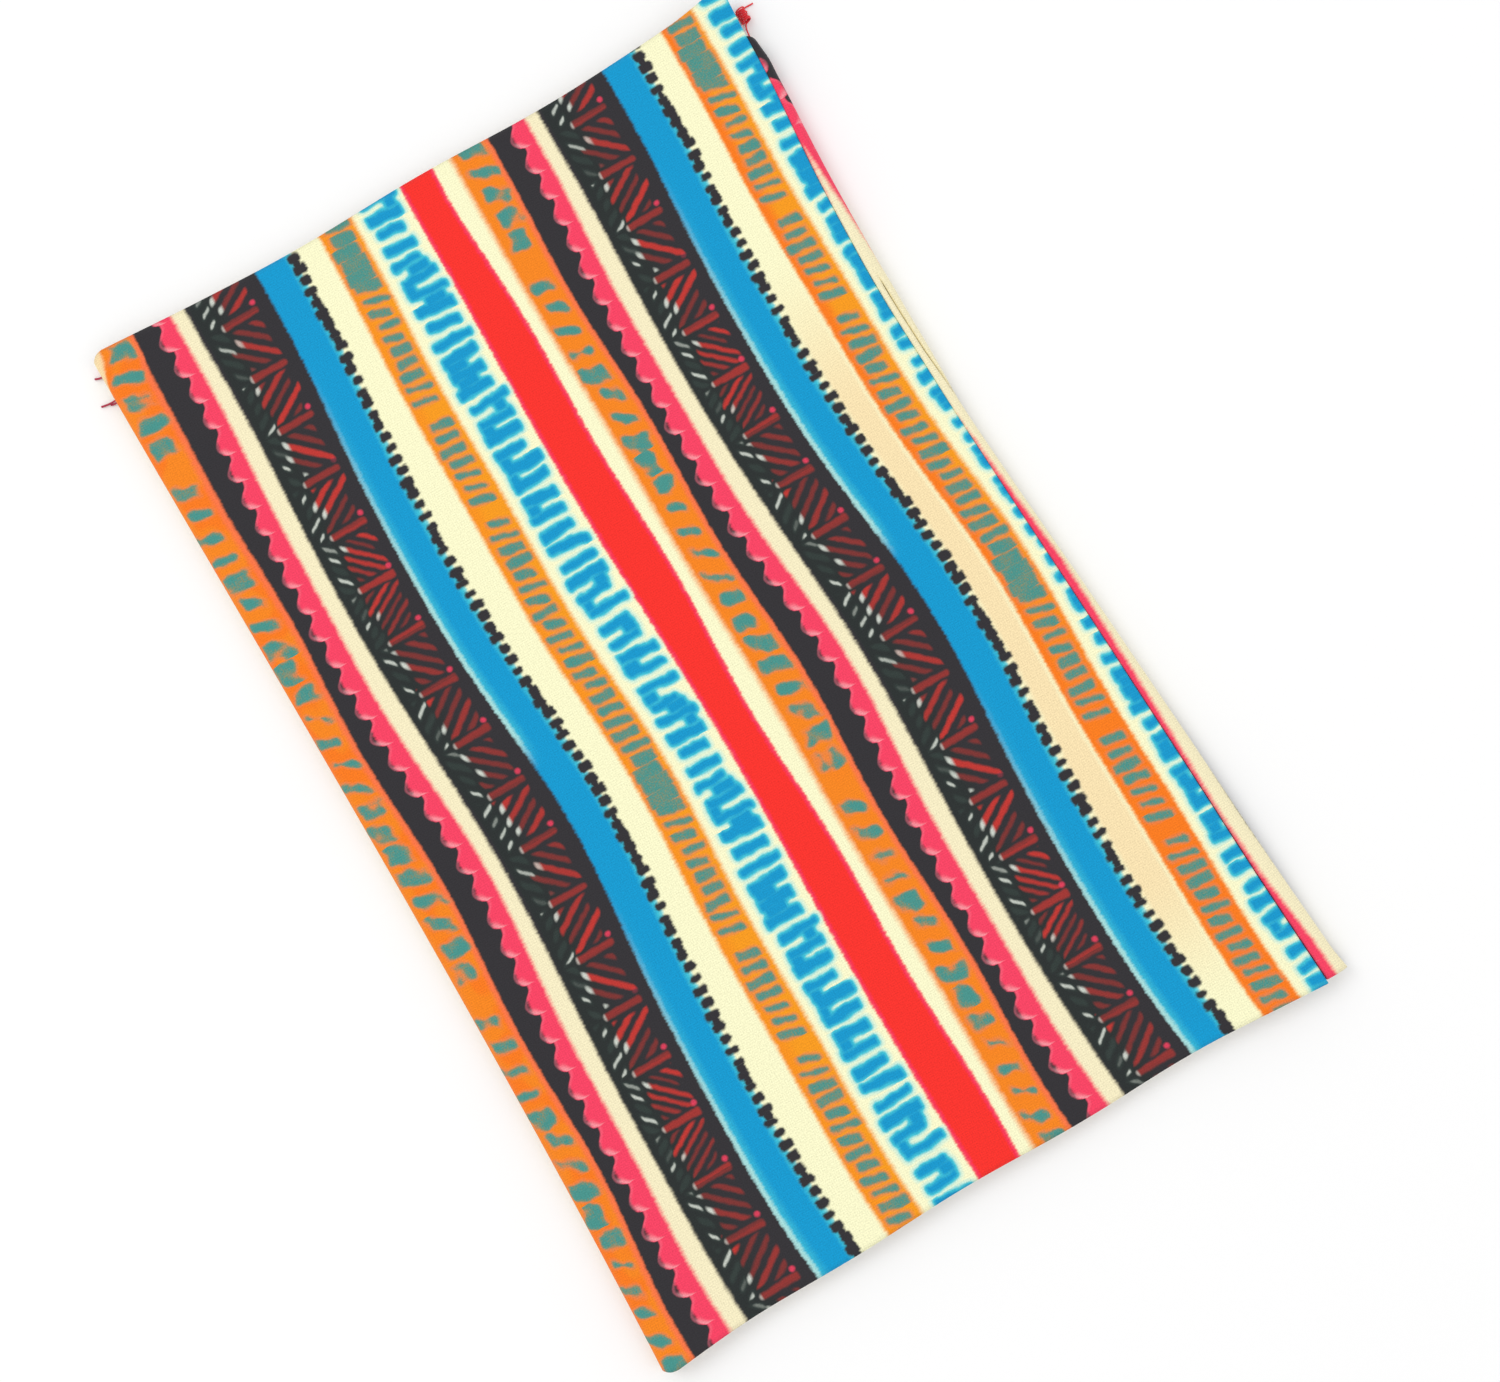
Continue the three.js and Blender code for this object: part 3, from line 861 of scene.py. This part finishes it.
def add_seam(material):
    """The four threads of the overlock seam, inside the tube."""
    inset = 1.5
    stitches = int((2 * HALF_LENGTH - 2 * inset) / STITCH_PITCH)
    steps = 12
    t = np.arange(stitches * steps + 1) / steps
    y = -HALF_LENGTH + inset + t * STITCH_PITCH
    clear = TURN_X - 1
    above = ALLOWANCE_HEIGHT + CAD_THICKNESS / 2 + 1.5 * GAP
    below = ALLOWANCE_HEIGHT - LAYER_PITCH - CAD_THICKNESS / 2 - 1.5 * GAP
    middle = (above + below) / 2
    swing = 0.5 - 0.5 * np.cos(2 * np.pi * t)
    drop = (1 - swing) ** 6
    lean = 0.22 * STITCH_PITCH * np.sin(4 * np.pi * t)
    for name, height in (("upper_looper_thread", above), ("lower_looper_thread", below)):
        x = RAW_EDGE - 0.35 + (clear - RAW_EDGE + 0.35) * swing
        z = height + (middle - height) * drop
        curve_piece(name, seam_path(x, y + lean, z), SEAM_THREAD, material, name)
    rows = (("left_needle_thread", clear), ("right_needle_thread", (RAW_EDGE + clear) / 2))
    for name, row_x in rows:
        z = above + SEAM_THREAD + 0.25 + 0.12 * np.cos(2 * np.pi * t)
        curve_piece(name, seam_path(np.full_like(y, row_x), y, z), SEAM_THREAD, material, name)


def add_thread_tail(material):
    """The overlock chain left at the top of the seam: it leaves the seam, runs up beside the front
    edge to the floor, winds through a bundle of loops there and ends free."""
    lead_low, lead_high = [np.array(corner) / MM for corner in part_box("thread_tail_lead")]
    coil_low, coil_high = [np.array(corner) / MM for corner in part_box("thread_tail_coil")]
    end_high = np.array(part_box("thread_tail_end")[1]) / MM
    half = TAIL_THREAD / 2
    start = np.array([lead_low[0] - 1.0, lead_low[1] - 2.5, lead_high[2] - half])
    turns = 8
    per_turn = 20
    rise = 1.35  # half the height of the loops
    advance = 0.62  # how far each loop lies beyond the one before
    t = np.arange(turns * per_turn + 1) / per_turn
    spin = 2 * np.pi * t - np.pi / 2
    reach = 1.6 + 0.18 * np.sin(t * 2.1)
    centre_x = (coil_low[0] + coil_high[0]) / 2 - 0.6
    bundle = np.stack(
        [
            centre_x + reach * np.cos(spin) + 0.15 * np.sin(t * 1.7),
            coil_low[1] - 0.4 + t * advance + 0.3 * np.cos(spin),
            half + 0.2 + rise * (1 + np.sin(spin)) + 0.1 * np.cos(t * 2.6),
        ],
        -1,
    )
    finish = np.array([end_high[0] + 0.4, end_high[1] + 0.5, half + 0.1])
    leaving = (bundle[-1] - bundle[-2]) * per_turn * 0.35
    arriving = (bundle[1] - bundle[0]) * per_turn * 0.35
    lead_in = hermite(start, bundle[0], np.array([0.0, 3.0, -1.2]), arriving, 14)
    lead_out = hermite(bundle[-1], finish, leaving, np.array([2.4, 0.4, 0.0]), 14)
    path = np.concatenate([lead_in[:-1], bundle, lead_out[1:]])
    nodes = ("thread_tail_lead", "thread_tail_coil", "thread_tail_end")
    tail = curve_piece("thread_tail", path, TAIL_THREAD, material, *nodes)


def hermite(start, end, leaving, arriving, count):
    """Points of a smooth curve between two places with given directions at its ends."""
    s = np.linspace(0, 1, count + 1)[:, None]
    return (
        (2 * s**3 - 3 * s**2 + 1) * start
        + (s**3 - 2 * s**2 + s) * leaving
        + (3 * s**2 - 2 * s**3) * end
        + (s**3 - s**2) * arriving
    )


def add_thread_ends(material):
    """Three short cut ends that reach out from under the folded edge and droop to the floor."""
    # Each end's number, its shift up the tube from its CAD node, and how far its tip bends up.
    for number, shift, bend in ((1, 2.4, 1.3), (2, 1.6, 1.1), (3, 3.3, 0.8)):
        name = f"thread_end_{number}"
        low, high = [np.array(corner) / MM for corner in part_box(name)]
        s = np.linspace(0, 1, 13)
        x = high[0] + (low[0] - high[0]) * s
        y = (low[1] + high[1]) / 2 + shift + bend * s**1.4
        z = END_THREAD / 2 + 1.8 * (1 - s) ** 2 + 0.05
        curve_piece(name, np.stack([x, y, z], -1), END_THREAD, material, name)


# ---------------------------------------------------------------- floor, light and camera


FLOOR_REACH = 6.0  # metres from the middle to each side of the floor
CAMERA_PLACE = (-4.1, -84.0, 673.8)
CAMERA_FORWARD = (0.0170, 0.0997, -0.9949)
CAMERA_UP = (0.5071, 0.8567, 0.0945)


def add_floor():
    mesh = bpy.data.meshes.new("floor")
    sides = ((-1, -1), (1, -1), (1, 1), (-1, 1))
    corners = [(x * FLOOR_REACH, y * FLOOR_REACH, 0) for x, y in sides]
    mesh.from_pydata(corners, [], [(0, 1, 2, 3)])
    floor = bpy.data.objects.new("floor", mesh)
    bpy.context.scene.collection.objects.link(floor)
    material, _, shader = surface_material("pale_floor", 0.9, 0.0)
    shader.inputs["Base Color"].default_value = (0.93, 0.93, 0.93, 1)
    mesh.materials.append(material)


def add_light(name, place, target, size, power):
    data = bpy.data.lights.new(name, "AREA")
    data.shape = "DISK"
    data.size = size
    data.energy = power
    light = bpy.data.objects.new(name, data)
    bpy.context.scene.collection.objects.link(light)
    light.location = place
    light.rotation_euler = (Vector(target) - Vector(place)).to_track_quat("-Z", "Y").to_euler()


def add_studio():
    world = bpy.data.worlds.new("studio")
    bpy.context.scene.world = world
    world.use_nodes = True
    background = world.node_tree.nodes["Background"]
    background.inputs["Color"].default_value = (1, 1, 1, 1)
    background.inputs["Strength"].default_value = 0.9
    add_light("key", (-0.9, 0.9, 1.6), (0, 0, 0), 1.2, 8)
    add_light("fill", (1.1, -0.7, 1.5), (0, 0, 0), 1.4, 3)
    bpy.context.scene.view_settings.view_transform = "Standard"


def add_camera():
    """Almost straight down, turned so that the tube leans across the picture."""
    forward = Vector(CAMERA_FORWARD).normalized()
    right = forward.cross(Vector(CAMERA_UP)).normalized()
    up = right.cross(forward)
    turn = Matrix((right, up, -forward)).transposed()
    data = bpy.data.cameras.new("camera")
    data.lens = 50
    data.sensor_width = 36
    camera = bpy.data.objects.new("camera", data)
    bpy.context.scene.collection.objects.link(camera)
    camera.matrix_world = Matrix.Translation(Vector(CAMERA_PLACE) * MM) @ turn.to_4x4()
    bpy.context.scene.camera = camera


add_camera()
add_studio()
add_floor()
red_thread = thread_material("red_thread", *THREAD_RED)
add_thread_tail(red_thread)
add_thread_ends(thread_material("crimson_thread", *THREAD_CRIMSON))
add_seam(red_thread)
add_cloth()
